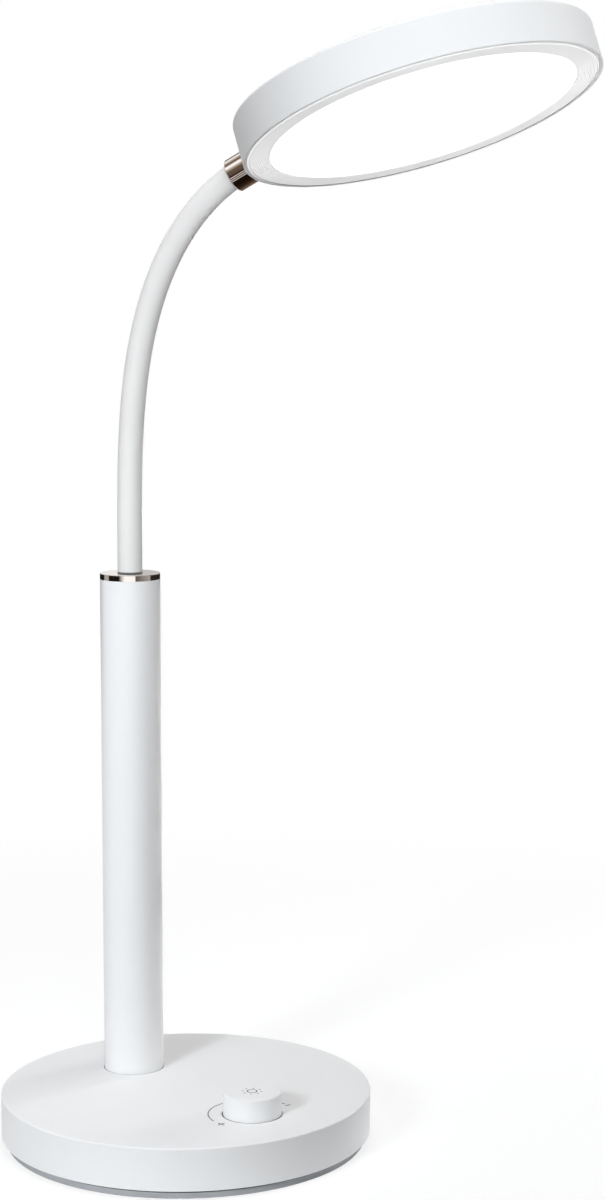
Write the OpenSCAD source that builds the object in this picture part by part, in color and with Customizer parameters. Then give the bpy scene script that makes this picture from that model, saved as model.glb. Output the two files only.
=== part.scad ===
// Desk lamp with a round base, a straight post, a flexible neck and a round light head.
// Millimetres. Z is up, the table is at z = 0, the base is centred on the origin
// and its front, where the knob is, looks towards -Y.

/* [Base] */
// Diameter of the base shell
base_d = 150; // [130:1:180]
// Height of the base shell's side
base_side_h = 17; // [16.8:0.1:24]
// Thickness of the base shell's side wall
base_wall = 2.4; // [1.6:0.1:3.5]
// Thickness of the base shell's top
base_top_t = 2.4; // [1.6:0.1:2.8]
// Radius of the base shell's upper edge
base_edge_r = 0.6; // [0.3:0.1:1.5]
// Radius of the base shell's lower edge
base_low_r = 0.5; // [0.2:0.1:1]
// How far the foot pad is set in from the base's side
foot_inset = 2.4; // [0.5:0.1:5]
// Thickness of the foot pad
foot_h = 2.3; // [1.5:0.1:5]
// Gap between the foot pad and the base shell
foot_gap = 1.1; // [0.8:0.1:1.4]
// Thickness of the bottom plate
plate_t = 2.9; // [2:0.1:3.2]
// Thickness of the counterweight
weight_t = 4; // [3:0.1:4.5]
// Diameter of the screw bosses in the base shell
base_boss_d = 7; // [6:0.5:9]
// Shank diameter of the base screws
base_screw_d = 2.9; // [2.4:0.1:3.5]
// Number of base screws
base_screws_n = 4; // [3:1:6]

/* [Power] */
// Length of the battery pack
battery_l = 60; // [40:1:70]
// Width of the battery pack
battery_w = 30; // [20:1:32]
// Thickness of the battery pack
battery_t = 7; // [4:0.5:7.5]
// Width of the charging socket
socket_w = 8.94; // [7:0.02:10]
// Height of the charging socket
socket_h = 3.26; // [2.4:0.02:4]
// Depth of the charging socket
socket_l = 7.35; // [6:0.05:9]
// How far the charging socket sits back from the base's side
socket_recess = 0.8; // [0.4:0.1:1.5]
// Width of the charging board
charge_board_w = 16; // [12:1:20]
// Length of the charging board
charge_board_l = 13; // [11:0.5:15]

/* [Dimmer] */
// Distance of the knob's axis in front of the base's centre
knob_front = 43.5; // [38:0.5:50]
// Diameter of the knob
knob_d = 23.2; // [18:0.2:28]
// Height of the knob above the base's top
knob_h = 9.1; // [5:0.1:14]
// How far the knob reaches below the base's top
knob_sink = 2.8; // [2.6:0.1:3.2]
// Gap round the knob
knob_gap = 0.5; // [0.3:0.1:1]
// Radius of the knob's upper edge
knob_edge_r = 0.7; // [0.3:0.1:1.5]
// Wall of the hollow knob
knob_wall = 1.8; // [1.2:0.1:2.5]
// Diameter of the dimmer shaft
shaft_d = 6; // [4:0.1:7]
// Width of the control board
board_w = 40; // [34:1:44]
// Length of the control board
board_l = 34; // [28:1:36]
// Thickness of the circuit boards
board_t = 1.6; // [1:0.1:2]
// Distance from the base shell's ceiling to the control board
board_drop = 4.8; // [4.6:0.1:5.4]
// Side of the square dimmer body
dimmer_w = 12; // [10:0.5:16]
// Height of the dimmer body
dimmer_h = 3.6; // [3:0.1:3.8]

/* [Post] */
// Distance of the post's axis behind the base's centre
post_back = 36.5; // [32:0.5:38]
// Diameter of the post tube
post_d = 24.6; // [20:0.2:28]
// Wall of the post tube
post_wall = 1.4; // [1:0.1:2]
// Height of the post tube above the base's top
post_h = 205.3; // [120:1:260]
// Height of the ring on the post
ring_h = 2.5; // [1.5:0.1:5]
// Diameter of the post foot's flange
post_flange_d = 38; // [34:0.5:39]
// Thickness of the post foot's flange
post_flange_t = 3; // [2:0.1:4]
// Length of the post foot's spigot inside the tube
post_spigot_l = 18; // [14:1:40]
// Shank diameter of the post screws
post_screw_d = 3.9; // [3:0.1:4.5]
// Length of the plug in the top of the post
post_plug_l = 12; // [8:1:20]

/* [Neck] */
// Turn of the neck and head about the post, away from straight ahead
neck_turn = 28.8; // [-60:0.1:60]
// Diameter of the neck's sleeve
neck_d = 10.1; // [9:0.1:12]
// Length of the neck from the ring to the collar
neck_len = 173.3; // [120:0.1:240]
// Lean of the neck at the collar, from upright
neck_bend = 58; // [40:1:75]
// How strongly the bend gathers towards the collar
neck_ease = 2.52; // [1.6:0.01:3.2]
// Diameter of the steel core in the sleeve
core_d = 7; // [5.5:0.1:8]
// Bore of the steel core
core_bore_d = 4; // [2.5:0.1:4.5]
// How much larger than the sleeve the ball of each flexing seat is
seat_over = 0.5; // [0.4:0.1:0.9]
// Clearance in each flexing seat
seat_gap = 0.3; // [0.2:0.05:0.4]
// Length of the neck inside the collar
neck_plug = 5; // [3:0.5:6]
// Length of the core below the ring
neck_root = 22; // [20.5:0.5:30]

/* [Head] */
// Diameter of the head
head_d = 142; // [130:1:180]
// Height of the head's wall
head_h = 16.4; // [14.6:0.1:24]
// Thickness of the head's wall
head_wall = 1.4; // [1.2:0.1:2]
// Thickness of the head's top
head_top_t = 1.8; // [1.4:0.1:2.4]
// Radius of the head's upper edge
head_edge_r = 1.2; // [0.4:0.1:2]
// Radius of the head's lower rim
head_rim_r = 0.35; // [0.1:0.05:0.5]
// Roll of the head about its line to the collar
head_roll = 6.2; // [-20:0.1:20]
// Angle from the collar's axis down to the head's plane
collar_dip = 9.1; // [0:0.1:12]
// Diameter of the collar
collar_d = 13.6; // [13:0.1:15]
// Length of the collar up to the head's wall
collar_len = 10.7; // [9:0.1:16]
// Bevel of the collar's edge
collar_bevel = 0.4; // [0.2:0.1:0.6]
// Diameter of the hollow stem that fixes the collar
stem_d = 6; // [4.5:0.1:6.4]
// Gap between the housing and the bezel ring
bezel_gap = 0.4; // [0.2:0.1:0.8]
// Width of the bezel ring's face
bezel_w = 8.7; // [8.4:0.1:12]
// Width of the smooth lip outside the bezel's grooves
bezel_lip_w = 0.9; // [0.5:0.1:1.5]
// Thickness of the bezel's face
bezel_t = 1.4; // [1.2:0.1:2]
// Height of the bezel's upstand
bezel_up_h = 4; // [3:0.1:4.5]
// Number of grooves in the bezel
groove_n = 9; // [4:1:9]
// Pitch of the grooves
groove_pitch = 0.8; // [0.5:0.05:0.8]
// Depth of the grooves
groove_depth = 0.4; // [0.1:0.05:0.5]
// How far the diffuser's face lies behind the bezel's face
diffuser_recess = 0.2; // [0:0.1:0.5]
// Thickness of the diffuser
diffuser_t = 2.2; // [1.8:0.1:2.6]
// Diameter of the light board
light_board_d = 112; // [90:1:116]
// Number of rings of light chips
chip_rings = 3; // [1:1:4]
// Number of light chips in the innermost ring
chip_step = 8; // [4:1:10]

/* [Hidden] */
$fn = 96;
neck_links = 12;
neck_last = neck_links - 1;

// Finishes
white = [0.93, 0.94, 0.95];
rose_metal = [0.52, 0.43, 0.39];
pad_grey = [0.52, 0.54, 0.56];
bezel_grey = [0.86, 0.87, 0.88];
steel = [0.62, 0.63, 0.65];
board_green = [0.12, 0.36, 0.22];
dark_plastic = [0.12, 0.12, 0.13];

// Small allowances
fit = 0.05;
slip = 0.3;
cut = 1;
small_gap = 0.2;

// Width of a screw's head to its shank, and of a nut to its bore
screw_head_ratio = 1.9;
nut_ratio = 1.5;

// Levels of the base
plate_z = foot_h;
weight_z = plate_z + plate_t;
deck_z = weight_z + weight_t;
shell_z = foot_h + foot_gap;
base_top = shell_z + base_side_h;
ceiling_z = base_top - base_top_t;
shell_in_r = base_d / 2 - base_wall;

// Screws of the base, from below into bosses under the shell's top
base_boss_r = shell_in_r - base_boss_d / 2;
base_head_d = screw_head_ratio * base_screw_d;
base_head_h = 1.5;
base_screw_l = 9;
base_screw_turn = 45;
weight_r = base_boss_r - base_boss_d / 2 - slip;

// Charging board on two pads of the bottom plate
charge_pad_h = 3.8;
charge_pad_w = 4;
charge_pad_l = 9;
charge_pad_x = (charge_board_w - charge_pad_w) / 2;
charge_board_t = 1.2;
charge_board_z = weight_z + charge_pad_h;
socket_z = charge_board_z + charge_board_t;
socket_y = base_d / 2 - socket_recess - socket_l;
charge_board_y = sqrt(pow(shell_in_r, 2) - pow(charge_board_w / 2, 2)) - small_gap - charge_board_l;
socket_wall = 0.4;
socket_tongue_t = 0.7;

// Battery between the post foot and the control board
battery_r = 2.5;
battery_y = (post_back - post_flange_d / 2 - knob_front + board_l / 2) / 2;

// Control board under four bosses of the base shell
board_z = ceiling_z - board_drop - board_t;
board_boss_d = 5;
board_screw_d = 2;
board_screw_x = board_w / 2 - board_boss_d / 2;
board_screw_y = board_l / 2 - board_boss_d / 2;
board_head_h = 1.2;
board_screw_l = 4;

// Dimmer and knob
dimmer_z = board_z + board_t;
knob_z = base_top - knob_sink;
knob_top = base_top + knob_h;
knob_top_t = 2.2;
knob_boss_wall = 2;
knob_boss_d = shaft_d + 2 * knob_boss_wall;
shaft_foot = 0.5;
shaft_head_gap = 1;
shaft_top = knob_top - knob_top_t - shaft_head_gap;
shaft_flat_depth = 1.4;
shaft_flat = shaft_d / 2 - shaft_flat_depth;

// Post and what holds the neck in it
tube_z = deck_z + post_flange_t;
post_top = base_top + post_h;
ring_top = post_top + ring_h;
post_in_d = post_d - 2 * post_wall;
spigot_d = post_in_d - 2 * fit;
post_bore_d = 8;
post_screws_n = 3;
post_screw_pcd = (spigot_d + post_bore_d) / 2;
post_screw_head_d = screw_head_ratio * post_screw_d;
post_screw_head_h = 2.2;
post_screw_bite = 6;
ferrule_wall = 1;
ferrule_d = core_d + 2 * ferrule_wall;
ferrule_l = neck_root - ring_h;
nut_h = 5;
nut_across = nut_ratio * ferrule_d;

// Flexing neck: short links, each with a ball end that sits in the next link's cup
link_len = neck_len / neck_links;
seat_r = neck_d / 2 + seat_over;
sleeve_bore_r = core_d / 2 + fit;
straight_below = 1.2;

// Lean of the neck at a distance s along it, from upright
function neck_angle(s) = neck_bend * pow(max(s, 0) / neck_len, neck_ease);
// Forward and upward step along an arc of length l, from lean a to lean b
function arc_step(a, b, l) = abs(b - a) < straight_below
    ? l * [sin((a + b) / 2), cos((a + b) / 2)]
    : l * 180 / (PI * (b - a)) * [cos(a) - cos(b), sin(b) - sin(a)];
function link_lean(i) = neck_angle(i * link_len);
function link_point(i) = i == 0
    ? [0, ring_top]
    : link_point(i - 1) + arc_step(link_lean(i - 1), link_lean(i), link_len);

// Collar and head
neck_end = link_point(neck_links);
collar_lean = neck_bend + (neck_bend - link_lean(neck_last)) * neck_plug / link_len;
head_lean = collar_lean + collar_dip;
head_r = head_d / 2;
head_in_r = head_r - head_wall;
head_mid = neck_end + collar_len * [sin(collar_lean), cos(collar_lean)]
    + head_r * [sin(head_lean), cos(head_lean)];
face_z = -head_h / 2;
roof_z = head_h / 2 - head_top_t;
collar_bore_d = neck_d + 2 * slip;
collar_bore_l = neck_plug + small_gap;
stem_wall = 1.4;
stem_bore_d = stem_d - 2 * stem_wall;
stem_boss_wall = 2;
stem_boss_d = stem_d + 2 * stem_boss_wall;
stem_boss_reach = 2.6;
stem_boss_l = head_wall + stem_boss_reach;
stem_nut_h = 3;
stem_nut_wall = 1.3;
stem_nut_across = stem_d + 2 * stem_nut_wall;
stem_proud = 1;
stem_end = collar_len + stem_boss_l + stem_nut_h + stem_proud;

// Light board under bosses of the head's top
head_boss_h = 2.2;
head_boss_d = 7;
head_screw_d = 2.5;
head_screw_n = 4;
head_screw_r = light_board_d / 2 - head_boss_d / 2;
head_screw_turn = 45;
head_screw_head_h = 1.4;
heat_plate_t = 1.2;
light_board_t = 1.2;
light_board_z = roof_z - head_boss_h - heat_plate_t - light_board_t;
chip_w = 2.8;
chip_l = 3.5;
chip_h = 0.8;
chip_ring_pitch = (head_screw_r - head_boss_d / 2 - chip_l) / chip_rings;

// Bezel and diffuser
bezel_out_r = head_in_r - bezel_gap;
bezel_in_r = bezel_out_r - bezel_w;
bezel_up_t = 1.4;
ledge_t = 1.2;
ledge_w = bezel_gap + bezel_up_t;
groove_lead = 0.15;
diffuser_gap = 0.1;
diffuser_r = bezel_in_r - diffuser_gap;
diffuser_flange_w = 2;
diffuser_flange_r = bezel_in_r + diffuser_flange_w;

// Tube that stands on the plane z = 0
module tube(l, ro, ri) {
    rotate_extrude() translate([ri, 0]) square([ro - ri, l]);
}

// Tube along an arc that leaves the origin upwards and leans towards +X
module arc_tube(l, lean, ro, ri) {
    arc_r = l * 180 / (PI * max(lean, straight_below));
    if (lean < straight_below)
        rotate([0, lean / 2, 0]) tube(l, ro, ri);
    else
        translate([arc_r, 0, 0]) rotate([90, 0, 180])
            rotate_extrude(angle = lean) translate([arc_r, 0])
                difference() {
                    circle(ro);
                    circle(ri);
                }
}

// Disc with rounded upper and lower edges
module edged_disc(r, h, up_r, low_r) {
    rotate_extrude() {
        translate([0, low_r]) square([r, h - up_r - low_r]);
        square([r - low_r, h / 2]);
        translate([0, h / 2]) square([r - up_r, h / 2]);
        translate([r - up_r, h - up_r]) circle(up_r);
        translate([r - low_r, low_r]) circle(low_r);
    }
}

// Screw with its head below z = 0 and its shank above it
module screw(shank_d, shank_l, head_d, head_h) {
    cylinder(d = shank_d, h = shank_l);
    translate([0, 0, -head_h]) cylinder(d = head_d, h = head_h);
}

module ring_of(n, r, turn = 0) {
    for (k = [0:n - 1]) rotate([0, 0, turn + k * 360 / n]) translate([r, 0, 0]) children();
}

// Bar of stadium section along +Y, centred on the Y axis
module stadium_bar(w, h, l) {
    rotate([-90, 0, 0]) linear_extrude(l) {
        square([w - h, h], center = true);
        for (side = [-1, 1]) translate([side * (w - h) / 2, 0]) circle(d = h);
    }
}

module hex_nut(across, bore_d, h) {
    difference() {
        cylinder(d = across / cos(30), h = h, $fn = 6);
        translate([0, 0, -cut]) cylinder(d = bore_d, h = h + 2 * cut);
    }
}

// Places
module at_base_screws() ring_of(base_screws_n, base_boss_r, base_screw_turn) children();
module at_knob() translate([0, -knob_front, 0]) children();
module at_board_screws() {
    for (sx = [-1, 1], sy = [-1, 1])
        at_knob() translate([sx * board_screw_x, sy * board_screw_y, 0]) children();
}
module at_post() translate([0, post_back, 0]) children();
module at_neck() at_post() rotate([0, 0, neck_turn - 90]) children();
module at_link(i) {
    at_neck() translate([link_point(i).x, 0, link_point(i).y]) rotate([0, link_lean(i), 0]) children();
}
module at_collar() {
    at_neck() translate([neck_end.x, 0, neck_end.y]) rotate([0, collar_lean, 0]) children();
}
module at_head() {
    at_neck() translate([head_mid.x, 0, head_mid.y])
        rotate([0, head_lean - 90, 0]) rotate([-head_roll, 0, 0]) children();
}
module at_head_screws() at_head() ring_of(head_screw_n, head_screw_r, head_screw_turn) children();

// Space that the charging board takes in the pieces below and in front of it
module charge_pocket() {
    translate([-charge_board_w / 2 - slip, charge_board_y - slip, weight_z - cut])
        cube([charge_board_w + 2 * slip, charge_board_l + base_d, ceiling_z - weight_z]);
}

// Base
module foot_pad() color(pad_grey) {
    cylinder(r = base_d / 2 - foot_inset, h = foot_h);
}

module bottom_plate() color(dark_plastic) difference() {
    union() {
        translate([0, 0, plate_z]) cylinder(r = shell_in_r - slip, h = plate_t);
        for (sx = [-1, 1])
            translate([sx * charge_pad_x - charge_pad_w / 2, charge_board_y, weight_z - cut])
                cube([charge_pad_w, charge_pad_l, charge_pad_h + cut]);
    }
    at_base_screws() translate([0, 0, plate_z - cut]) {
        cylinder(d = base_screw_d + slip, h = plate_t + 2 * cut);
        cylinder(d = base_head_d + slip, h = base_head_h + cut);
    }
}

module base_screws() color(steel) {
    at_base_screws() translate([0, 0, plate_z + base_head_h])
        screw(base_screw_d, base_screw_l, base_head_d, base_head_h);
}

module counterweight() color(steel) difference() {
    translate([0, 0, weight_z]) cylinder(r = weight_r, h = weight_t);
    charge_pocket();
    at_post() ring_of(post_screws_n, post_screw_pcd / 2) translate([0, 0, weight_z - cut]) {
        cylinder(d = post_screw_d + slip, h = weight_t + 2 * cut);
        cylinder(d = post_screw_head_d + slip, h = post_screw_head_h + cut);
    }
}

module base_shell() color(white) difference() {
    union() {
        difference() {
            translate([0, 0, shell_z]) edged_disc(base_d / 2, base_side_h, base_edge_r, base_low_r);
            translate([0, 0, shell_z - cut]) cylinder(r = shell_in_r, h = ceiling_z - shell_z + cut);
        }
        at_base_screws() translate([0, 0, weight_z])
            cylinder(d = base_boss_d, h = ceiling_z - weight_z + small_gap);
        at_board_screws() translate([0, 0, dimmer_z])
            cylinder(d = board_boss_d, h = ceiling_z - dimmer_z + small_gap);
    }
    at_base_screws() translate([0, 0, weight_z - cut])
        cylinder(d = base_screw_d + 2 * fit, h = base_screw_l + cut);
    at_board_screws() translate([0, 0, dimmer_z - cut])
        cylinder(d = board_screw_d + 2 * fit, h = board_screw_l);
    at_post() translate([0, 0, ceiling_z - cut]) cylinder(d = post_d + 2 * slip, h = base_top_t + 2 * cut);
    at_knob() translate([0, 0, ceiling_z - cut])
        cylinder(d = knob_d + 2 * knob_gap, h = base_top_t + 2 * cut);
    translate([0, socket_y, socket_z + socket_h / 2])
        stadium_bar(socket_w + 2 * small_gap, socket_h + 2 * small_gap, socket_l + base_wall);
}

// Power
module battery_pack() color(dark_plastic) {
    translate([0, battery_y, deck_z]) linear_extrude(battery_t) {
        square([battery_l - 2 * battery_r, battery_w], center = true);
        square([battery_l, battery_w - 2 * battery_r], center = true);
        for (sx = [-1, 1], sy = [-1, 1])
            translate([sx * (battery_l / 2 - battery_r), sy * (battery_w / 2 - battery_r)]) circle(battery_r);
    }
}

module charge_board() color(board_green) {
    translate([-charge_board_w / 2, charge_board_y, charge_board_z])
        cube([charge_board_w, charge_board_l, charge_board_t]);
}

module charge_socket() color(steel) translate([0, socket_y, socket_z + socket_h / 2]) {
    difference() {
        stadium_bar(socket_w, socket_h, socket_l);
        translate([0, socket_wall, 0])
            stadium_bar(socket_w - 2 * socket_wall, socket_h - 2 * socket_wall, socket_l);
    }
    translate([-socket_w / 2 + socket_h / 2, 0, -socket_tongue_t / 2])
        cube([socket_w - socket_h, socket_l - socket_wall, socket_tongue_t]);
}

// Dimmer
module control_board() color(board_green) difference() {
    at_knob() translate([-board_w / 2, -board_l / 2, board_z]) cube([board_w, board_l, board_t]);
    at_board_screws() translate([0, 0, board_z - cut])
        cylinder(d = board_screw_d + small_gap, h = board_t + 2 * cut);
}

module board_screws() color(steel) {
    at_board_screws() translate([0, 0, board_z])
        screw(board_screw_d, board_screw_l, screw_head_ratio * board_screw_d, board_head_h);
}

module dimmer_body() color(steel) at_knob() difference() {
    translate([-dimmer_w / 2, -dimmer_w / 2, dimmer_z]) cube([dimmer_w, dimmer_w, dimmer_h]);
    translate([0, 0, dimmer_z + shaft_foot / 2]) cylinder(d = shaft_d + 2 * fit, h = dimmer_h + cut);
}

module shaft_section(d, flat) {
    difference() {
        circle(d = d);
        translate([flat, -d]) square([d, 2 * d]);
    }
}

module dimmer_shaft() color(steel) at_knob() {
    translate([0, 0, dimmer_z + shaft_foot]) cylinder(d = shaft_d, h = dimmer_h);
    translate([0, 0, dimmer_z + shaft_foot + dimmer_h])
        linear_extrude(shaft_top - dimmer_z - shaft_foot - dimmer_h) shaft_section(shaft_d, shaft_flat);
}

module knob() color(white) at_knob() translate([0, 0, knob_z]) difference() {
    edged_disc(knob_d / 2, knob_top - knob_z, knob_edge_r, fit);
    translate([0, 0, -cut])
        tube(knob_top - knob_top_t - knob_z + cut, knob_d / 2 - knob_wall, knob_boss_d / 2);
    translate([0, 0, -cut])
        linear_extrude(shaft_top - knob_z + cut + small_gap)
            shaft_section(shaft_d + 2 * fit, shaft_flat + fit);
}

// Post
module post_foot() color(steel) difference() {
    at_post() translate([0, 0, deck_z]) {
        cylinder(d = post_flange_d, h = post_flange_t);
        cylinder(d = spigot_d, h = post_flange_t + post_spigot_l);
    }
    at_post() translate([0, 0, deck_z - cut]) {
        cylinder(d = post_bore_d, h = post_flange_t + post_spigot_l + 2 * cut);
        ring_of(post_screws_n, post_screw_pcd / 2)
            cylinder(d = post_screw_d + 2 * fit, h = cut + post_flange_t + post_screw_bite);
    }
    charge_pocket();
}

module post_screws() color(steel) {
    at_post() ring_of(post_screws_n, post_screw_pcd / 2) translate([0, 0, weight_z + post_screw_head_h])
        screw(post_screw_d, post_flange_t + post_screw_bite, post_screw_head_d, post_screw_head_h);
}

module post_tube() color(white) at_post() translate([0, 0, tube_z]) {
    tube(post_top - tube_z, post_d / 2, post_in_d / 2);
}

module post_plug() color(dark_plastic) at_post() translate([0, 0, post_top - post_plug_l]) {
    tube(post_plug_l, spigot_d / 2, ferrule_d / 2 + fit);
}

module post_ring() color(rose_metal) at_post() translate([0, 0, post_top]) difference() {
    edged_disc(post_d / 2, ring_h, small_gap, fit);
    translate([0, 0, -cut]) cylinder(d = neck_d + small_gap, h = ring_h + 2 * cut);
}

module neck_ferrule() color(rose_metal) at_post() translate([0, 0, post_top - ferrule_l]) {
    tube(ferrule_l, ferrule_d / 2, core_d / 2 + fit);
}

module neck_nut() color(steel) at_post() translate([0, 0, post_top - post_plug_l - nut_h]) {
    hex_nut(nut_across, ferrule_d + 2 * fit, nut_h);
}

// Neck
// All that lies above a seat's ball, from a little above the seat's centre
module seat_cap() {
    difference() {
        translate([0, 0, seat_over]) cylinder(r = 2 * seat_r, h = 2 * seat_r);
        sphere(seat_r);
    }
}

// One link of a tube that follows the neck, with a cup below and a ball above.
// The first link starts at a root below the ring, and the last one runs on into the collar.
module neck_link(i, ro, ri, root) {
    lean = link_lean(i + 1) - link_lean(i);
    full_len = link_len + (i < neck_last ? seat_r : neck_plug);
    step = arc_step(0, lean, link_len);
    at_link(i) difference() {
        if (i == 0)
            translate([0, 0, -root]) tube(root + full_len, ro, ri);
        else
            arc_tube(full_len, lean * full_len / link_len, ro, ri);
        if (i > 0)
            sphere(seat_r + seat_gap);
        if (i < neck_last)
            translate([step.x, 0, step.y]) rotate([0, lean, 0]) seat_cap();
    }
}

module neck_core(i) color(steel) neck_link(i, core_d / 2, core_bore_d / 2, neck_root);
module neck_sleeve(i) color(white) neck_link(i, neck_d / 2, sleeve_bore_r, ring_h);

// Head
// Turned sleeve: bevelled edge towards the neck, end cut to the head's round wall
module head_collar() color(rose_metal) difference() {
    at_collar() rotate_extrude() difference() {
        square([collar_d / 2, collar_len + collar_d / 2]);
        translate([collar_d / 2, 0]) rotate(45) square(collar_bevel * sqrt(2), center = true);
    }
    at_collar() translate([0, 0, -cut]) cylinder(d = collar_bore_d, h = collar_bore_l + cut);
    at_collar() cylinder(d = stem_d + 2 * fit, h = collar_len + collar_d);
    at_head() cylinder(r = head_r + fit / 2, h = 2 * head_d, center = true);
}

module collar_stem() color(steel) at_collar() translate([0, 0, collar_bore_l]) {
    tube(stem_end - collar_bore_l, stem_d / 2, stem_bore_d / 2);
}

module collar_nut() color(steel) at_collar() translate([0, 0, collar_len + stem_boss_l]) rotate([0, 0, 30]) {
    hex_nut(stem_nut_across, stem_d + 2 * fit, stem_nut_h);
}

module stem_boss(d) {
    intersection() {
        at_collar() cylinder(d = d, h = collar_len + stem_boss_l);
        at_head() cylinder(r = head_r - head_wall / 2, h = head_h, center = true);
    }
}

module head_housing() color(white) difference() {
    union() {
        difference() {
            at_head() translate([0, 0, face_z]) edged_disc(head_r, head_h, head_edge_r, head_rim_r);
            at_head() translate([0, 0, face_z - cut]) cylinder(r = head_in_r, h = roof_z - face_z + cut);
        }
        at_head() translate([0, 0, face_z + bezel_up_h])
            tube(ledge_t, head_r - head_wall / 2, head_in_r - ledge_w);
        at_head_screws() translate([0, 0, roof_z - head_boss_h])
            cylinder(d = head_boss_d, h = head_boss_h + small_gap);
        stem_boss(stem_boss_d);
    }
    at_head_screws() translate([0, 0, roof_z - head_boss_h - cut])
        cylinder(d = head_screw_d + 2 * fit, h = head_boss_h + head_top_t / 2 + cut);
    at_collar() cylinder(d = stem_d + 2 * fit, h = collar_len + stem_boss_l + cut);
}

module heat_plate() color(steel) difference() {
    at_head() translate([0, 0, light_board_z + light_board_t])
        cylinder(d = light_board_d, h = heat_plate_t);
    at_head_screws() translate([0, 0, light_board_z])
        cylinder(d = head_screw_d + slip, h = light_board_t + heat_plate_t + cut);
}

module light_board() color("white") difference() {
    at_head() translate([0, 0, light_board_z]) cylinder(d = light_board_d, h = light_board_t);
    at_head_screws() translate([0, 0, light_board_z - cut])
        cylinder(d = head_screw_d + slip, h = light_board_t + 2 * cut);
}

module light_chips() color([0.95, 0.85, 0.45]) at_head() {
    for (ring = [1:chip_rings])
        ring_of(ring * chip_step, ring * chip_ring_pitch)
            translate([-chip_l / 2, -chip_w / 2, light_board_z - chip_h]) cube([chip_l, chip_w, chip_h]);
}

module head_screws() color(steel) {
    at_head_screws() translate([0, 0, light_board_z])
        screw(head_screw_d, light_board_t + heat_plate_t + head_boss_h + head_top_t / 4,
            screw_head_ratio * head_screw_d, head_screw_head_h);
}

// Face with saw-tooth grooves and an upstand that seats under the housing's ledge
module bezel_ring() color(bezel_grey) difference() {
    at_head() translate([0, 0, face_z]) rotate_extrude() difference() {
        union() {
            translate([bezel_in_r, 0]) square([bezel_w, bezel_t]);
            translate([bezel_out_r - bezel_up_t, 0]) square([bezel_up_t, bezel_up_h]);
        }
        for (k = [0:groove_n - 1])
            translate([bezel_out_r - bezel_lip_w - k * groove_pitch, 0])
                polygon([[0, -cut], [0, 0], [-groove_pitch * groove_lead, groove_depth], [-groove_pitch, 0],
                    [-groove_pitch, -cut]]);
    }
    stem_boss(stem_boss_d + 2 * slip);
}

module diffuser() color([0.98, 0.98, 0.97]) at_head() translate([0, 0, face_z + diffuser_recess]) {
    cylinder(r = diffuser_r, h = diffuser_t);
    translate([0, 0, bezel_t - diffuser_recess])
        cylinder(r = diffuser_flange_r, h = diffuser_t - bezel_t + diffuser_recess);
}

foot_pad();
bottom_plate();
base_screws();
counterweight();
base_shell();
battery_pack();
charge_board();
charge_socket();
control_board();
board_screws();
dimmer_body();
dimmer_shaft();
knob();
post_foot();
post_screws();
post_tube();
post_plug();
post_ring();
neck_ferrule();
neck_nut();
for (i = [0:neck_last]) {
    neck_core(i);
    neck_sleeve(i);
}
head_collar();
collar_stem();
collar_nut();
head_housing();
heat_plate();
light_board();
light_chips();
head_screws();
bezel_ring();
diffuser();
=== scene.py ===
# Desk lamp with a round base, a straight post, a flexible neck and a round light head.
# Metres, Z up. The table is at z = 0, and the front of the base, with the knob, looks towards -Y.

import math

import bpy
from mathutils import Matrix, Vector


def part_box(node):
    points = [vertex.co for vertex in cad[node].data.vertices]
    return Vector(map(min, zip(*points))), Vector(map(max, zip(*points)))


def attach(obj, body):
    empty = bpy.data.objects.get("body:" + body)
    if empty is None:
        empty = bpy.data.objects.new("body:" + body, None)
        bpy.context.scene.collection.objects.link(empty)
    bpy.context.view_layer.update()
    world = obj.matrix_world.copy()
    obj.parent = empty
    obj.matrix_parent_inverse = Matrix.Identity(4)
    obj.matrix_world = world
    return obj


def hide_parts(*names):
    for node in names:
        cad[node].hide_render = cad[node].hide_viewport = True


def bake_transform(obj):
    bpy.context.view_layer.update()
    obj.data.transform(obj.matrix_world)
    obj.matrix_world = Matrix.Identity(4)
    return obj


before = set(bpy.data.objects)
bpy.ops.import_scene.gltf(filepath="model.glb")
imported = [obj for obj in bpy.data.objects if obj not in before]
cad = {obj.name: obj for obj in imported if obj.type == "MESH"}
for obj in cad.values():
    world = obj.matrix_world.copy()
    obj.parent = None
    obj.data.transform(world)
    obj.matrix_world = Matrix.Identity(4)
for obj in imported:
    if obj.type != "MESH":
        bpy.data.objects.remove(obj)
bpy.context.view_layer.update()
bpy.ops.object.select_all(action="DESELECT")

# Camera
# It stands to the left of the base's front, about as high as the neck, and looks a little down.
# The width of its film and the length of its lens are in millimetres.
camera_away = 0.9916
camera_round = math.radians(36.57)
camera_height = 0.3407
camera_bearing = math.radians(-39.31)
camera_down = math.radians(6.93)
film_width = 36
lens_length = 75.2


def level_way(angle):
    """Level direction at an angle from +X."""
    return Vector((math.cos(angle), math.sin(angle), 0))


bpy.ops.object.camera_add(
    location=(-camera_away * math.sin(camera_round), -camera_away * math.cos(camera_round), camera_height),
    rotation=(math.radians(90) - camera_down, 0, camera_bearing),
)
camera = bpy.context.object
camera.data.sensor_width = film_width
camera.data.lens = lens_length
bpy.context.scene.camera = camera
camera_right = level_way(camera_bearing)

# Foot pad
# A grey rubber disc glued under the base, set in from its side, with a dark gap line above it.
# It is pressed from sheet, so its edges are slightly round and its skin has a fine even grain.
cloud_detail = 3
cloud_low = 0.3
cloud_high = 0.7
pad_edge = 0.0004
pad_edge_steps = 4
round_sides = 192
level_from = 0.5
smooth_angle = math.radians(40)


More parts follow.
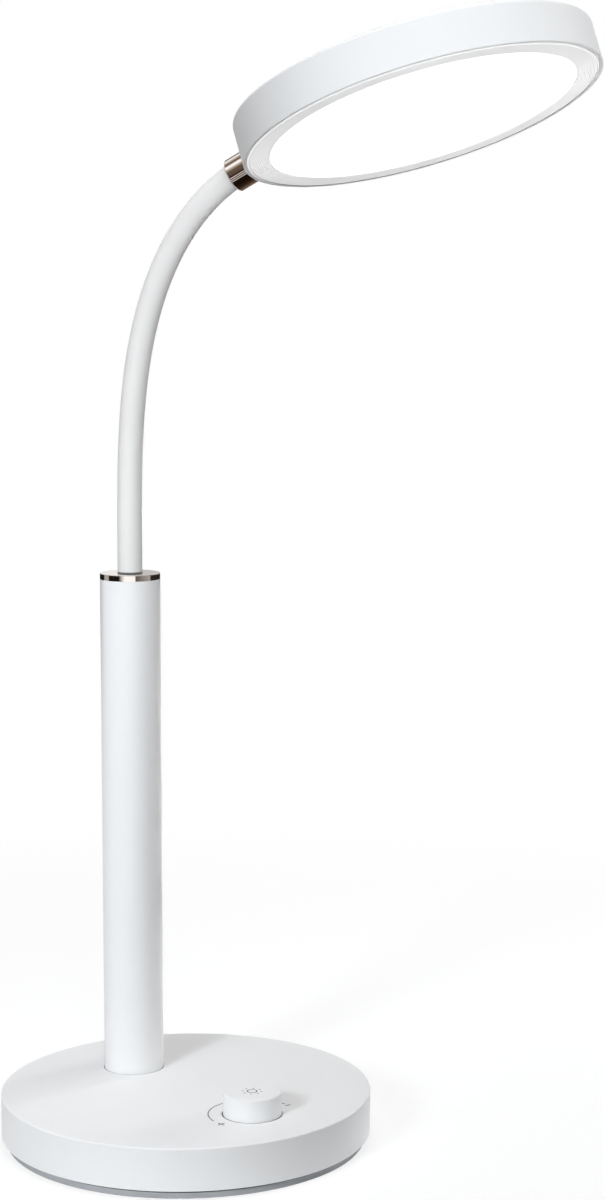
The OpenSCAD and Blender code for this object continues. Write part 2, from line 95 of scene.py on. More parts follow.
def ramp(tree, value, low, high, first=0, last=1):
    """A node that leads a value between low and high over to one between first and last."""
    node = tree.nodes.new("ShaderNodeMapRange")
    node.inputs["From Min"].default_value = low
    node.inputs["From Max"].default_value = high
    node.inputs["To Min"].default_value = first
    node.inputs["To Max"].default_value = last
    tree.links.new(value, node.inputs["Value"])
    return node


moulded_skin = bpy.data.node_groups.new("moulded_skin", "ShaderNodeTree")
for name in ("Grain Scale", "Mottle Scale"):
    moulded_skin.interface.new_socket(name, in_out="INPUT", socket_type="NodeSocketFloat")
for name in ("Grain", "Mottle"):
    moulded_skin.interface.new_socket(name, in_out="OUTPUT", socket_type="NodeSocketFloat")
skin_in = moulded_skin.nodes.new("NodeGroupInput")
skin_out = moulded_skin.nodes.new("NodeGroupOutput")
skin_place = moulded_skin.nodes.new("ShaderNodeTexCoord")
for name in ("Grain", "Mottle"):
    cloud = moulded_skin.nodes.new("ShaderNodeTexNoise")
    cloud.inputs["Detail"].default_value = cloud_detail
    moulded_skin.links.new(skin_place.outputs["Object"], cloud.inputs["Vector"])
    moulded_skin.links.new(skin_in.outputs[name + " Scale"], cloud.inputs["Scale"])
    spread = ramp(moulded_skin, cloud.outputs["Fac"], cloud_low, cloud_high)
    moulded_skin.links.new(spread.outputs["Result"], skin_out.inputs[name])


def finish(name, light, dark, smooth, rough, grain, depth, mottle, metallic=0.0):
    """A material that drifts between two colours and two roughnesses, in patches of the mottle's size.

    Its fine grain has a size and a depth.
    """
    material = bpy.data.materials.new(name)
    material.use_nodes = True
    tree = material.node_tree
    shader = tree.nodes["Principled BSDF"]
    shader.inputs["Metallic"].default_value = metallic
    skin = tree.nodes.new("ShaderNodeGroup")
    skin.node_tree = moulded_skin
    skin.inputs["Grain Scale"].default_value = 1 / grain
    skin.inputs["Mottle Scale"].default_value = 1 / mottle
    tint = tree.nodes.new("ShaderNodeMix")
    tint.data_type = "RGBA"
    tint.inputs["A"].default_value = (*light, 1)
    tint.inputs["B"].default_value = (*dark, 1)
    tree.links.new(skin.outputs["Mottle"], tint.inputs["Factor"])
    tree.links.new(tint.outputs["Result"], shader.inputs["Base Color"])
    gloss = ramp(tree, skin.outputs["Mottle"], 0, 1, smooth, rough)
    tree.links.new(gloss.outputs["Result"], shader.inputs["Roughness"])
    bump = tree.nodes.new("ShaderNodeBump")
    bump.inputs["Distance"].default_value = depth
    tree.links.new(skin.outputs["Grain"], bump.inputs["Height"])
    tree.links.new(bump.outputs["Normal"], shader.inputs["Normal"])
    return material


def paint(material, *names):
    """Gives CAD nodes a material."""
    for name in names:
        cad[name].material_slots[0].material = material


def settle(name):
    """Names the piece that was just added, puts its place into its mesh and gives it back."""
    piece = bpy.context.object
    piece.name = name
    bpy.ops.object.transform_apply(location=True, rotation=True, scale=True)
    return piece


def deselect_mesh():
    """Leaves nothing of the active piece's mesh selected."""
    bpy.ops.object.mode_set(mode="EDIT")
    bpy.ops.mesh.select_all(action="DESELECT")
    bpy.ops.object.mode_set(mode="OBJECT")


rubber = finish(
    "grey_rubber", light=(0.44, 0.45, 0.47), dark=(0.40, 0.41, 0.43), smooth=0.62, rough=0.75,
    grain=0.0004, depth=0.00004, mottle=0.02,
)
pad_low, pad_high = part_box("foot_pad")
bpy.ops.mesh.primitive_cylinder_add(
    vertices=round_sides,
    radius=(pad_high.x - pad_low.x) / 2,
    depth=pad_high.z - pad_low.z,
    location=(0, 0, (pad_high.z + pad_low.z) / 2),
)
foot_pad = settle("rubber_foot")
deselect_mesh()
for face in foot_pad.data.polygons:
    face.select = abs(face.normal.z) > level_from
bpy.ops.object.mode_set(mode="EDIT")
bpy.ops.mesh.region_to_loop()
bpy.ops.mesh.bevel(offset=pad_edge, segments=pad_edge_steps, affect="EDGES")
bpy.ops.object.mode_set(mode="OBJECT")
bpy.ops.object.shade_smooth_by_angle(angle=smooth_angle)
foot_pad.data.materials.append(rubber)
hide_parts("foot_pad")
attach(foot_pad, "base")

# Base shell, knob and head housing
# White satin mouldings of the same plastic: the shell of the base with its rounded upper edge,
# the hollow knob pushed on the dimmer's shaft, and the shallow drum of the head.
white_plastic = finish(
    "white_plastic", light=(0.85, 0.85, 0.855), dark=(0.835, 0.835, 0.84), smooth=0.36, rough=0.42,
    grain=0.00035, depth=0.000004, mottle=0.05,
)
paint(white_plastic, "base_shell", "knob", "head_housing")

# Dial on the base
# Thin dark grey ink printed on the shell round the knob: an arc behind it, with a plus at its left end
# and a minus at its right end.
ink = finish(
    "grey_ink", light=(0.045, 0.045, 0.05), dark=(0.06, 0.06, 0.065), smooth=0.5, rough=0.6,
    grain=0.0002, depth=0.000002, mottle=0.001,
)
ink_height = 0.00003
arc_stroke = 0.00045
mark_stroke = 0.00055
ink_steps = 96
weld_gap = 1e-6
dial_radius = 0.0174
dial_from = math.radians(3)
dial_to = math.radians(172)
plus_angle = math.radians(188)
plus_size = 0.0035
minus_angle = math.radians(-3)
minus_size = 0.0024
mark_turn = math.radians(6)


def top_middle(node):
    """Middle of the top of a CAD node's box."""
    low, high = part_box(node)
    return Vector(((low.x + high.x) / 2, (low.y + high.y) / 2, high.z))


def weld_shell():
    """Merges the doubled points of the piece in edit mode, turns its faces outwards and ends the edit."""
    bpy.ops.mesh.select_all(action="SELECT")
    bpy.ops.mesh.remove_doubles(threshold=weld_gap)
    bpy.ops.mesh.normals_make_consistent(inside=False)
    bpy.ops.object.mode_set(mode="OBJECT")


def ink_bar(middle, length, turn, stroke=mark_stroke):
    """A printed bar that lies flat, its middle at a point."""
    bpy.ops.mesh.primitive_cube_add(size=1, location=middle, rotation=(0, 0, turn))
    bpy.context.object.scale = (length, stroke, 2 * ink_height)
    return settle("ink_bar")


def ink_ring(middle, radius, start, end):
    """A printed line round a point, from one angle to another."""
    line_place = middle + Vector((radius, 0, 0))
    bpy.ops.mesh.primitive_plane_add(size=1, location=line_place, rotation=(math.pi / 2, 0, 0))
    bpy.context.object.scale = (arc_stroke, 2 * ink_height, 1)
    ring = settle("ink_ring")
    to_start = Matrix.Rotation(start, 4, "Z")
    ring.data.transform(Matrix.Translation(middle) @ to_start @ Matrix.Translation(-middle))
    bpy.ops.object.mode_set(mode="EDIT")
    bpy.ops.mesh.select_all(action="SELECT")
    bpy.ops.mesh.spin(steps=ink_steps, angle=start - end, center=middle, axis=(0, 0, 1))
    weld_shell()
    return ring


def print_on(name, body, strokes):
    """Joins printed strokes into one piece that moves with a body."""
    bpy.ops.object.select_all(action="DESELECT")
    for mark in strokes:
        mark.select_set(True)
    bpy.context.view_layer.objects.active = strokes[0]
    bpy.ops.object.join()
    marks = bpy.context.object
    marks.name = name
    marks.data.materials.append(ink)
    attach(marks, body)
    bpy.ops.object.select_all(action="DESELECT")


shell_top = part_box("base_shell")[1].z
dial_centre = top_middle("knob")
dial_centre.z = shell_top
plus_place = dial_centre + dial_radius * level_way(plus_angle)
minus_place = dial_centre + dial_radius * level_way(minus_angle)
print_on("dial_print", "base", [
    ink_ring(dial_centre, dial_radius, dial_from, dial_to),
    ink_bar(plus_place, plus_size, mark_turn),
    ink_bar(plus_place, plus_size, mark_turn + math.pi / 2),
    ink_bar(minus_place, minus_size, mark_turn),
])

# Gap shade rings
# Black rings in the narrow gaps that the shell leaves round the knob and the post, as painted shade.
# They draw the shadow deep in each gap as a dark line.
gap_shade = finish(
    "painted_gap_shade", light=(0.02, 0.02, 0.021), dark=(0.028, 0.028, 0.03), smooth=0.85, rough=0.95,
    grain=0.0002, depth=0.00003, mottle=0.002,
)
gap_shade_sunk = 0.00008
gap_shade_depth = 0.0008
ring_play = 0.00002
knob_gap = 0.0005
post_gap = 0.0003
ring_sides = 128


def give_wall(piece, thickness, side):
    """Gives the active piece's surface a wall, outwards for side 1 and inwards for side -1."""
    wall = piece.modifiers.new("wall", "SOLIDIFY")
    wall.thickness = thickness
    wall.offset = side
    bpy.ops.object.modifier_apply(modifier="wall")


def thin_ring(name, top, inner, width, depth, material):
    """A level ring that hangs down from the middle of its top and moves with the base."""
    bpy.ops.mesh.primitive_circle_add(vertices=ring_sides, radius=inner, location=top)
    ring = settle(name)
    bpy.ops.object.mode_set(mode="EDIT")
    bpy.ops.mesh.select_all(action="SELECT")
    bpy.ops.mesh.extrude_edges_move(TRANSFORM_OT_translate={"value": (0, 0, -depth)})
    bpy.ops.object.mode_set(mode="OBJECT")
    give_wall(ring, width, side=1)
    ring.data.materials.append(material)
    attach(ring, "base")


def gap_shade_ring(name, node, gap):
    """A black ring of painted shade in the gap of the shell round a CAD node, a little below the shell's
    top.
    """
    low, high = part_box(node)
    top = top_middle(node)
    top.z = shell_top - gap_shade_sunk
    thin_ring(name, top, (high.x - low.x) / 2 + ring_play, gap - 2 * ring_play, gap_shade_depth, gap_shade)


gap_shade_ring("knob_gap_shade", "knob", knob_gap)
gap_shade_ring("post_gap_shade", "post_tube", post_gap)

# Sun mark on the knob
# The same ink on the knob's top: a small circle with eight short rays, which turns with the knob.
sun_radius = 0.0019
ray_count = 8
ray_inner = 0.0033
ray_outer = 0.0041
sun_centre = top_middle("knob")
sun_marks = [ink_ring(sun_centre, sun_radius, 0, 2 * math.pi)]
for ray in range(ray_count):
    ray_angle = 2 * math.pi * ray / ray_count
    ray_middle = sun_centre + (ray_inner + ray_outer) / 2 * level_way(ray_angle)
    sun_marks.append(ink_bar(ray_middle, ray_outer - ray_inner, ray_angle, stroke=arc_stroke))
print_on("sun_print", "knob", sun_marks)

# Post tube
# A straight aluminium tube, painted satin white, that stands in the hole of the base shell.
white_paint = finish(
    "white_paint", light=(0.85, 0.85, 0.855), dark=(0.84, 0.84, 0.845), smooth=0.32, rough=0.35,
    grain=0.0005, depth=0.000002, mottle=0.08,
)
paint(white_paint, "post_tube")

# Post ring and head collar
# Turned rings, plated a rose grey and polished, that cap the post and carry the head on the neck.
# They throw no spots of light on the white pieces beside them.
rose_plate = finish(
    "rose_plate", light=(0.56, 0.52, 0.495), dark=(0.54, 0.50, 0.475), smooth=0.03, rough=0.06,
    grain=0.0008, depth=0.0000002, mottle=0.01, metallic=1.0,
)
paint(rose_plate, "post_ring", "head_collar")
for polished in ("post_ring", "head_collar"):
    cad[polished].visible_diffuse = False

# Neck sleeve
# One smooth white silicone sleeve over the bendable hose, from the post's ring into the head's collar.
# It is made in stretches from middle to middle of the links, and each stretch bends over one seat.
white_sleeve = finish(
    "white_sleeve", light=(0.80, 0.785, 0.775), dark=(0.785, 0.77, 0.76), smooth=0.48, rough=0.54,
    grain=0.0006, depth=0.000004, mottle=0.05,
)
neck_radius = 0.00505
sleeve_wall = 0.0016
sleeve_sides = 64
neck_length = 0.1733
neck_bend = math.radians(58)
neck_ease = 2.52
neck_turn = math.radians(28.8)
neck_links = 12
neck_plug = 0.005
link_length = neck_length / neck_links
link_middle = 0.5
arc_steps = 6
ring_low, ring_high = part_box("post_ring")
ring_centre = top_middle("post_ring")
ring_height = ring_high.z - ring_low.z
plane_turn = neck_turn - math.pi / 2
neck_frame = Matrix.Translation(ring_centre) @ Matrix.Rotation(plane_turn, 4, "Z")
neck_axis = neck_frame.to_3x3() @ Vector((0, 1, 0))


def link_lean(i):
    """Lean from upright at the start of a link."""
    return neck_bend * (i / neck_links) ** neck_ease


def inwards(lean):
    """Direction from the neck to the inside of its bend, in the neck's own plane."""
    return Vector((math.cos(lean), 0, -math.sin(lean)))


def link_arc(i):
    """Bend and centre of a link's arc, in the neck's own plane."""
    bend = link_lean(i + 1) - link_lean(i)
    return bend, seats[i] + link_length / bend * inwards(link_lean(i))


def along_link(i, share):
    """Place and lean at a share of a link, in the neck's own plane."""
    bend, centre = link_arc(i)
    lean = link_lean(i) + share * bend
    return centre - link_length / bend * inwards(lean), lean


def bend_ring(i, start, end):
    """Carries the selected ring along a link, from one share of it to another."""
    bend, centre = link_arc(i)
    turn = -bend * (end - start)
    bpy.ops.mesh.spin(steps=arc_steps, angle=turn, center=neck_frame @ centre, axis=neck_axis)


seats = [Vector((0, 0, 0))]
for i in range(neck_links):
    seats.append(along_link(i, 1)[0])
for seat in range(1, neck_links):
    first = seat == 1
    last = seat == neck_links - 1
    place, lean = along_link(seat - 1, 0 if first else link_middle)
    if first:
        place = place - Vector((0, 0, ring_height))
    bpy.ops.mesh.primitive_circle_add(
        vertices=sleeve_sides,
        radius=neck_radius,
        location=neck_frame @ place,
        rotation=(0, lean, plane_turn),
    )
    sleeve = settle(f"sleeve_stretch_{seat}")
    bpy.ops.object.mode_set(mode="EDIT")
    bpy.ops.mesh.select_all(action="SELECT")
    if first:
        bpy.ops.mesh.extrude_edges_move(TRANSFORM_OT_translate={"value": (0, 0, ring_height)})
        bend_ring(0, 0, link_middle)
    bend_ring(seat - 1, link_middle, 1)
    bend_ring(seat, 0, link_middle)
    if last:
        bend_ring(seat, link_middle, 1 + neck_plug / link_length)
    weld_shell()
    give_wall(sleeve, sleeve_wall, side=-1)
    bpy.ops.object.shade_smooth_by_angle(angle=smooth_angle)
    sleeve.data.materials.append(white_sleeve)
    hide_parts(f"neck_sleeve_{seat}")
    if first:
        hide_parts("neck_sleeve_0")
    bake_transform(sleeve)
    bpy.ops.object.select_all(action="DESELECT")

# Neck seal
# A thin lip of dark rubber round the neck's foot, where it goes into the post's ring. Its dark colour is
# also painted shade, the dark line where the neck meets the ring.
seal_rubber_and_shade = finish(
    "seal_rubber_and_shade", light=(0.16, 0.15, 0.145), dark=(0.12, 0.115, 0.11), smooth=0.6, rough=0.75,
    grain=0.0003, depth=0.00002, mottle=0.01,
)
seal_height = 0.0005
seal_width = 0.0006
seal_top = ring_centre + Vector((0, 0, seal_height))
thin_ring("neck_seal", seal_top, neck_radius + ring_play, seal_width, seal_height, seal_rubber_and_shade)

# Bezel ring
# A pale moulding snapped into the head's rim, with fine rings turned in its face. A weak white glow on it
# is painted light, which brightens its face that looks down, away from the lamps.
bezel_plastic = finish(
    "bezel_plastic", light=(0.80, 0.80, 0.80), dark=(0.78, 0.78, 0.78), smooth=0.34, rough=0.40,
    grain=0.0003, depth=0.000003, mottle=0.02,
)
bezel_plastic.cycles.emission_sampling = "NONE"
bezel_painted_light = 0.25


def give_glow(material, glow):
    """Gives a material a white glow: the lamp's own light in the diffuser, painted light in the bezel and
    its bead.
    """
    shader = material.node_tree.nodes["Principled BSDF"]
    shader.inputs["Emission Color"].default_value = (1, 1, 1, 1)
    shader.inputs["Emission Strength"].default_value = glow


give_glow(bezel_plastic, bezel_painted_light)
paint(bezel_plastic, "bezel_ring")

# Bezel bead
# A fine bead round the bezel's outer lip. Its slope glows with painted light, so it shows as a bright line
# on the near side. Its steep inner side is painted shade, a dark grey that draws the shaded rim on the far
# side.
bead_plastic = finish(
    "bead_plastic", light=(0.86, 0.86, 0.86), dark=(0.84, 0.84, 0.84), smooth=0.30, rough=0.36,
    grain=0.0003, depth=0.000002, mottle=0.02,
)
bead_plastic.cycles.emission_sampling = "NONE"
bead_painted_light = 0.45
give_glow(bead_plastic, bead_painted_light)
bead_painted_shade = finish(
    "bead_painted_shade", light=(0.20, 0.20, 0.205), dark=(0.18, 0.18, 0.185), smooth=0.5, rough=0.6,
    grain=0.0003, depth=0.000002, mottle=0.02,
)
bead_width = 0.0005
bead_height = 0.00025
steep_below = 0.1
bezel_points = [point.co for point in cad["bezel_ring"].data.vertices]
bezel_middle = sum(bezel_points, Vector()) / len(bezel_points)
head_down = max(cad["diffuser"].data.polygons, key=lambda face: face.area).normal.copy()
if head_down.z > 0:
    head_down.negate()
bezel_face = max((point - bezel_middle).dot(head_down) for point in bezel_points)
bead_radius = max((point - bezel_middle).cross(head_down).length for point in bezel_points)
bead_place = head_down.to_track_quat("Z", "Y").to_matrix().to_4x4()
bead_place.translation = bezel_middle + bezel_face * head_down
bpy.ops.mesh.primitive_cone_add(
    vertices=round_sides,
    radius1=bead_radius,
    radius2=bead_radius - bead_width,
    depth=bead_height,
    end_fill_type="NOTHING",
    location=(0, 0, bead_height / 2),
)
bead = settle("bezel_bead")
deselect_mesh()
for edge in bead.data.edges:
    edge.select = all(bead.data.vertices[end].co.z > bead_height / 2 for end in edge.vertices)
bpy.ops.object.mode_set(mode="EDIT")
bpy.ops.mesh.extrude_edges_move(TRANSFORM_OT_translate={"value": (0, 0, -bead_height)})
bpy.ops.mesh.select_all(action="SELECT")
bpy.ops.mesh.region_to_loop()
bpy.ops.mesh.bridge_edge_loops()
weld_shell()
bead.data.materials.append(bead_plastic)
bead.data.materials.append(bead_painted_shade)
for face in bead.data.polygons:
    # Steep faces get the painted shade, the others the painted light.
    face.material_index = int(abs(face.normal.z) < steep_below)
bead.data.transform(bead_place)
bpy.ops.object.shade_smooth_by_angle(angle=smooth_angle)
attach(bead, "head")
bpy.ops.object.select_all(action="DESELECT")

# Diffuser
# An opal sheet inside the bezel, lit evenly from behind, so that it shows as plain white.
opal = finish(
    "opal_sheet", light=(0.86, 0.86, 0.86), dark=(0.84, 0.84, 0.84), smooth=0.40, rough=0.46,
    grain=0.0004, depth=0.000002, mottle=0.02,
)
opal_glow = 1
give_glow(opal, opal_glow)
paint(opal, "diffuser")

# Fasteners, hose and shafts
# Zinc-plated steel: the screws and nuts, the links of the hose, the collar's stem, the dimmer's shaft
# and the socket's shell.
zinc = finish(
    "zinc_steel", light=(0.60, 0.61, 0.63), dark=(0.52, 0.53, 0.55), smooth=0.28, rough=0.42,
    grain=0.0003, depth=0.00001, mottle=0.004, metallic=1.0,
)
paint(zinc, "base_screws", "board_screws", "post_screws", "head_screws", "neck_nut", "collar_nut")
paint(zinc, "collar_stem", "dimmer_shaft", "charge_socket")
paint(zinc, *[f"neck_core_{i}" for i in range(neck_links)])

# Cast and pressed metal inside
# The iron plate that weighs the base down, the post's cast foot, the heat plate, the dimmer's can
# and the brass ferrule crimped on the hose.
iron = finish(
    "raw_iron", light=(0.22, 0.22, 0.23), dark=(0.14, 0.14, 0.15), smooth=0.55, rough=0.75,
    grain=0.0008, depth=0.00006, mottle=0.012, metallic=1.0,
)
paint(iron, "counterweight")
alloy = finish(
    "cast_alloy", light=(0.66, 0.67, 0.68), dark=(0.58, 0.59, 0.60), smooth=0.38, rough=0.52,
    grain=0.0006, depth=0.00003, mottle=0.008, metallic=1.0,
)
paint(alloy, "post_foot", "heat_plate", "dimmer_body")
brass = finish(
    "turned_brass", light=(0.72, 0.55, 0.28), dark=(0.64, 0.48, 0.24), smooth=0.25, rough=0.35,
    grain=0.0004, depth=0.00001, mottle=0.005, metallic=1.0,
)
paint(brass, "neck_ferrule")

# Black mouldings inside
# The bottom plate that closes the base, the plug in the top of the post and the wrapped battery.
black_plastic = finish(
    "black_plastic", light=(0.03, 0.03, 0.032), dark=(0.022, 0.022, 0.024), smooth=0.45, rough=0.6,
    grain=0.0005, depth=0.00002, mottle=0.01,
)
paint(black_plastic, "bottom_plate", "post_plug", "battery_pack")

# Circuit boards and light chips
# Green boards for charging and dimming, the white board of the head and its yellow light chips.
green_board = finish(
    "green_board", light=(0.02, 0.16, 0.07), dark=(0.03, 0.22, 0.10), smooth=0.35, rough=0.5,
    grain=0.0006, depth=0.00002, mottle=0.003,
)
paint(green_board, "charge_board", "control_board")
white_board = finish(
    "white_board", light=(0.80, 0.80, 0.79), dark=(0.76, 0.76, 0.75), smooth=0.40, rough=0.5,
    grain=0.0006, depth=0.00002, mottle=0.004,
)
paint(white_board, "light_board")
phosphor = finish(
    "phosphor", light=(0.80, 0.62, 0.12), dark=(0.74, 0.55, 0.10), smooth=0.45, rough=0.6,
    grain=0.0003, depth=0.00002, mottle=0.002,
)
paint(phosphor, "light_chips")

# Floor
# A plain white table top that keeps the lamp's soft shadow and fades into the white backdrop.
# It throws light back on the lamp, less of it farther away and least from the right.
floor_size = 12
shadow_near = 0.16
shadow_far = 0.6
shaded_tone = 0.3
shaded_glow = 0.74
bounce_near = 0.68
bounce_left = 0.38
bounce_right = 0.0
bounce_from = 0.095
bounce_to = 0.18
bounce_side = 0.05


def side_ramp(tree, place, reach, left, right):
    """A node that leads from a value at the camera's left to one at its right, over a reach each way."""
    side = tree.nodes.new("ShaderNodeVectorMath")
    side.operation = "DOT_PRODUCT"
    side.inputs[1].default_value = camera_right
    tree.links.new(place, side.inputs[0])
    return ramp(tree, side.outputs["Value"], -reach, reach, left, right)


def larger(tree, one, other):
    """The larger of two values."""
    node = tree.nodes.new("ShaderNodeMath")
    node.operation = "MAXIMUM"
    tree.links.new(one, node.inputs[0])
    tree.links.new(other, node.inputs[1])
    return node.outputs["Value"]


def in_sight(tree):
    """A value of 1 for what the camera sees, straight or in metal and glass, and of 0 for other light."""
    rays = tree.nodes.new("ShaderNodeLightPath")
    bent = larger(tree, rays.outputs["Is Glossy Ray"], rays.outputs["Is Transmission Ray"])
    return larger(tree, rays.outputs["Is Camera Ray"], bent)


def mix(tree, share, one, other):
    """A shader that goes from one to another by a share."""
    node = tree.nodes.new("ShaderNodeMixShader")
    tree.links.new(share, node.inputs["Fac"])
    tree.links.new(one, node.inputs[1])
    tree.links.new(other, node.inputs[2])
    return node.outputs["Shader"]


bpy.ops.mesh.primitive_plane_add(size=floor_size, location=(0, 0, 0))
floor = bpy.context.object
floor.name = "table_top"
table_white = bpy.data.materials.new("table_white")
table_white.use_nodes = True
table_white.cycles.emission_sampling = "NONE"
table = table_white.node_tree
table.nodes.remove(table.nodes["Principled BSDF"])
table_shaded = table.nodes.new("ShaderNodeBsdfDiffuse")
table_shaded.inputs["Color"].default_value = (shaded_tone, shaded_tone, shaded_tone, 1)
table_glow = table.nodes.new("ShaderNodeEmission")
table_glow.inputs["Strength"].default_value = shaded_glow
table_near = table.nodes.new("ShaderNodeAddShader")
table.links.new(table_shaded.outputs["BSDF"], table_near.inputs[0])
table.links.new(table_glow.outputs["Emission"], table_near.inputs[1])
table_far = table.nodes.new("ShaderNodeEmission")
table_place = table.nodes.new("ShaderNodeTexCoord").outputs["Object"]
table_away = table.nodes.new("ShaderNodeVectorMath")
table_away.operation = "LENGTH"
table.links.new(table_place, table_away.inputs[0])
table_fade = ramp(table, table_away.outputs["Value"], shadow_near, shadow_far)
table_seen = mix(
    table, table_fade.outputs["Result"], table_near.outputs["Shader"], table_far.outputs["Emission"]
)
table_bounce = ramp(table, table_away.outputs["Value"], bounce_from, bounce_to, first=bounce_near)
table_side = side_ramp(table, table_place, bounce_side, bounce_left, bounce_right)
table.links.new(table_side.outputs["Result"], table_bounce.inputs["To Max"])
table_plain = table.nodes.new("ShaderNodeBsdfDiffuse")
table.links.new(table_bounce.outputs["Result"], table_plain.inputs["Color"])
table_pick = mix(table, in_sight(table), table_plain.outputs["BSDF"], table_seen)
table.links.new(table_pick, table.nodes["Material Output"].inputs["Surface"])
floor.data.materials.append(table_white)

# Backdrop
# White to the camera and in the polished metal, and a soft fill from the left on everything else.
fill_left = 0.17
fill_right = 0.0
fill_side = 0.5
world = bpy.data.worlds.new("backdrop")
bpy.context.scene.world = world
world.use_nodes = True
sky = world.node_tree
sky_shader = sky.nodes["Background"]
sky_shader.inputs["Color"].default_value = (1, 1, 1, 1)
sky_place = sky.nodes.new("ShaderNodeTexCoord").outputs["Generated"]
sky_fill = side_ramp(sky, sky_place, fill_side, fill_left, fill_right)
sky_strength = ramp(sky, in_sight(sky), 0, 1)
sky.links.new(sky_fill.outputs["Result"], sky_strength.inputs["To Min"])
sky.links.new(sky_strength.outputs["Result"], sky_shader.inputs["Strength"])

# Studio lights
# Round soft boxes: a low key at the left, one before the head, one overhead, two behind at the right,
# and small ones under the head and low at the base. Grids narrow the beams of all but the rim light.
light_away = 1.6
under_away = 0.42
small_away = 0.6
under_shift = 0.3
cool_white = (0.94, 0.975, 1)
aim_low = Vector((0, 0, 0.08))
aim_head = (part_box("head_housing")[0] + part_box("head_housing")[1]) / 2
aim_under = aim_head + under_shift * (aim_head - neck_frame @ seats[-1])
aim_post = Vector((0, 0.03, 0.11))
aim_side = Vector((0.03, -0.03, -0.01))
aim_front = Vector((-0.04, -0.05, -0.005))


def soft_box(name, aim, bearing, lift, size, watts, spread=180, tint=(1, 1, 1), away=light_away):
    """A round light that looks at a point.

    The bearing to the camera's right, the lift from level and the spread of the beam are in degrees.
    """
    turn = camera_bearing - math.pi / 2 + math.radians(bearing)
    rise = math.radians(lift)
    outward = Vector((math.cos(rise) * math.cos(turn), math.cos(rise) * math.sin(turn), math.sin(rise)))
    bpy.ops.object.light_add(type="AREA", location=aim + away * outward)
    box = bpy.context.object
    box.name = name
    box.visible_camera = False
    box.visible_glossy = False
    box.data.shape = "DISK"
    box.data.size = size
    box.data.spread = math.radians(spread)
    box.data.energy = watts
    box.data.color = tint
    box.rotation_mode = "QUATERNION"
    box.rotation_quaternion = (-outward).to_track_quat("-Z", "Y")


soft_box("key_light", aim_post, bearing=-29, lift=22, size=0.35, watts=0.61, spread=32, tint=cool_white)
soft_box("head_light", aim_head, bearing=7, lift=15, size=0.4, watts=0.47, spread=26, tint=cool_white)
soft_box("top_light", aim_low, bearing=0, lift=85, size=1.2, watts=1.9, spread=60)
soft_box("rim_light", aim_low, bearing=110, lift=45, size=1.2, watts=6)
soft_box("edge_light", aim_post, bearing=128, lift=8, size=0.3, watts=0.15, spread=16)
soft_box(
    "under_light", aim_under, bearing=50, lift=-70, size=0.15, watts=0.075, spread=44,
    away=under_away,
)
soft_box(
    "side_light", aim_side, bearing=88, lift=4, size=0.04, watts=0.0058, spread=18,
    tint=cool_white, away=small_away,
)
soft_box(
    "front_light", aim_front, bearing=-12, lift=4, size=0.04, watts=0.0015, spread=12,
    tint=cool_white, away=small_away,
)

# Cards round the polished pieces
# Rings of card that show only in the metal, with the dark and bright bands of a studio. Turns are degrees
# round the piece from its middle, a tone of 1 is white, and warmth browns the dimmer tones.
card_glow = 1.86
ring_card_radius = 1.0
ring_card_width = 0.13
ring_card_warmth = 0.08
ring_card_lift = 0.108
collar_card_radius = 0.11
collar_card_width = 0.06
collar_card_warmth = 0.32
collar_length = 0.0107


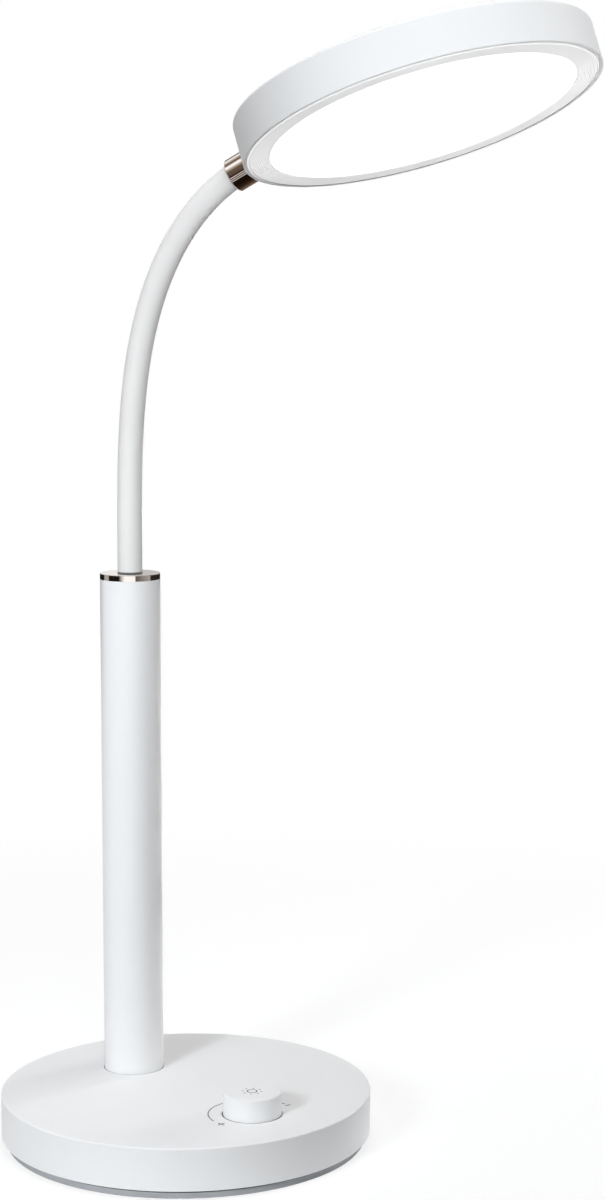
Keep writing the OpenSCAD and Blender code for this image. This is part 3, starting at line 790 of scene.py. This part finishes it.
def card_ring(name, centre, axis, radius, width, warmth, tones):
    """A ring of card where the camera sees it in a round piece, with a tone at each turn."""
    sight = (centre - camera.location).normalized()
    along = sight.dot(axis)
    front = (along * axis - sight).normalized()
    place = Matrix((front, axis.cross(front), axis)).transposed().to_4x4()
    place.translation = centre + axis * radius * along / math.sqrt(1 - along ** 2)
    bpy.ops.mesh.primitive_cylinder_add(
        vertices=ring_sides, radius=radius, depth=width, end_fill_type="NOTHING"
    )
    ring = bpy.context.object
    ring.name = name
    ring.matrix_world = place
    paper = bpy.data.materials.new(name)
    paper.use_nodes = True
    paper.cycles.emission_sampling = "NONE"
    tree = paper.node_tree
    tree.nodes.remove(tree.nodes["Principled BSDF"])
    around = tree.nodes.new("ShaderNodeTexCoord")
    turn = tree.nodes.new("ShaderNodeTexGradient")
    turn.gradient_type = "RADIAL"
    tree.links.new(around.outputs["Object"], turn.inputs["Vector"])
    bands = tree.nodes.new("ShaderNodeValToRGB")
    stops = bands.color_ramp.elements
    while len(stops) < len(tones):
        stops.new(1)
    for stop, (angle, tone) in zip(stops, tones):
        stop.position = 0.5 + angle / 360
        stop.color = (tone, tone ** (1 + warmth / 2), tone ** (1 + warmth), 1)
    tree.links.new(turn.outputs["Color"], bands.inputs["Fac"])
    glow = tree.nodes.new("ShaderNodeEmission")
    glow.inputs["Strength"].default_value = card_glow
    tree.links.new(bands.outputs["Color"], glow.inputs["Color"])
    tree.links.new(glow.outputs["Emission"], tree.nodes["Material Output"].inputs["Surface"])
    ring.data.materials.append(paper)
    ring.visible_camera = False
    ring.visible_diffuse = False
    ring.visible_transmission = False
    ring.visible_shadow = False


post_axis = Vector((0, 0, 1))
ring_middle = ring_centre - ring_height / 2 * post_axis
ring_tones = [
    (-180, 0.01), (-117, 0.01), (-115, 0.33), (-90, 0.4), (-88, 0.01), (-43, 0.01),
    (-20, 1), (19, 1), (21, 0.09), (82, 0.38), (85, 0.02), (180, 0.02),
]
card_ring(
    "ring_cards", ring_middle, post_axis, ring_card_radius, ring_card_width, ring_card_warmth, ring_tones
)
ring_top_middle = ring_centre + ring_card_lift * post_axis
ring_top_tones = [(-180, 0.58), (-170, 0.45), (170, 0.45), (180, 0.36)]
card_ring(
    "ring_top_cards", ring_top_middle, post_axis, ring_card_radius, ring_card_width, ring_card_warmth,
    ring_top_tones,
)
collar_lean = along_link(neck_links - 1, 1 + neck_plug / link_length)[1]
collar_axis = neck_frame.to_3x3() @ Vector((math.sin(collar_lean), 0, math.cos(collar_lean)))
collar_middle = neck_frame @ seats[-1] + collar_length / 2 * collar_axis
collar_tones = [
    (-180, 0.01), (-145, 0.02), (-128, 0.9), (-112, 0.6), (-92, 0.11), (-84, 0.18), (-72, 1), (-64, 1),
    (-53, 0.46), (-38, 0.13), (-14, 0.1), (-2, 0.02),
]
stripe_starts = (2, 14, 26)
for start in stripe_starts:
    collar_tones += [(start, 0.02), (start + 1.5, 0.8), (start + 4, 0.8), (start + 5.5, 0.02)]
collar_tones += [(32, 0.01), (70, 0.01), (97, 0.03), (140, 0.15), (180, 0.2)]
card_ring(
    "collar_cards", collar_middle, collar_axis, collar_card_radius, collar_card_width, collar_card_warmth,
    collar_tones,
)

# Colour
# The view shows colours as written.
bpy.context.scene.view_settings.view_transform = "Standard"
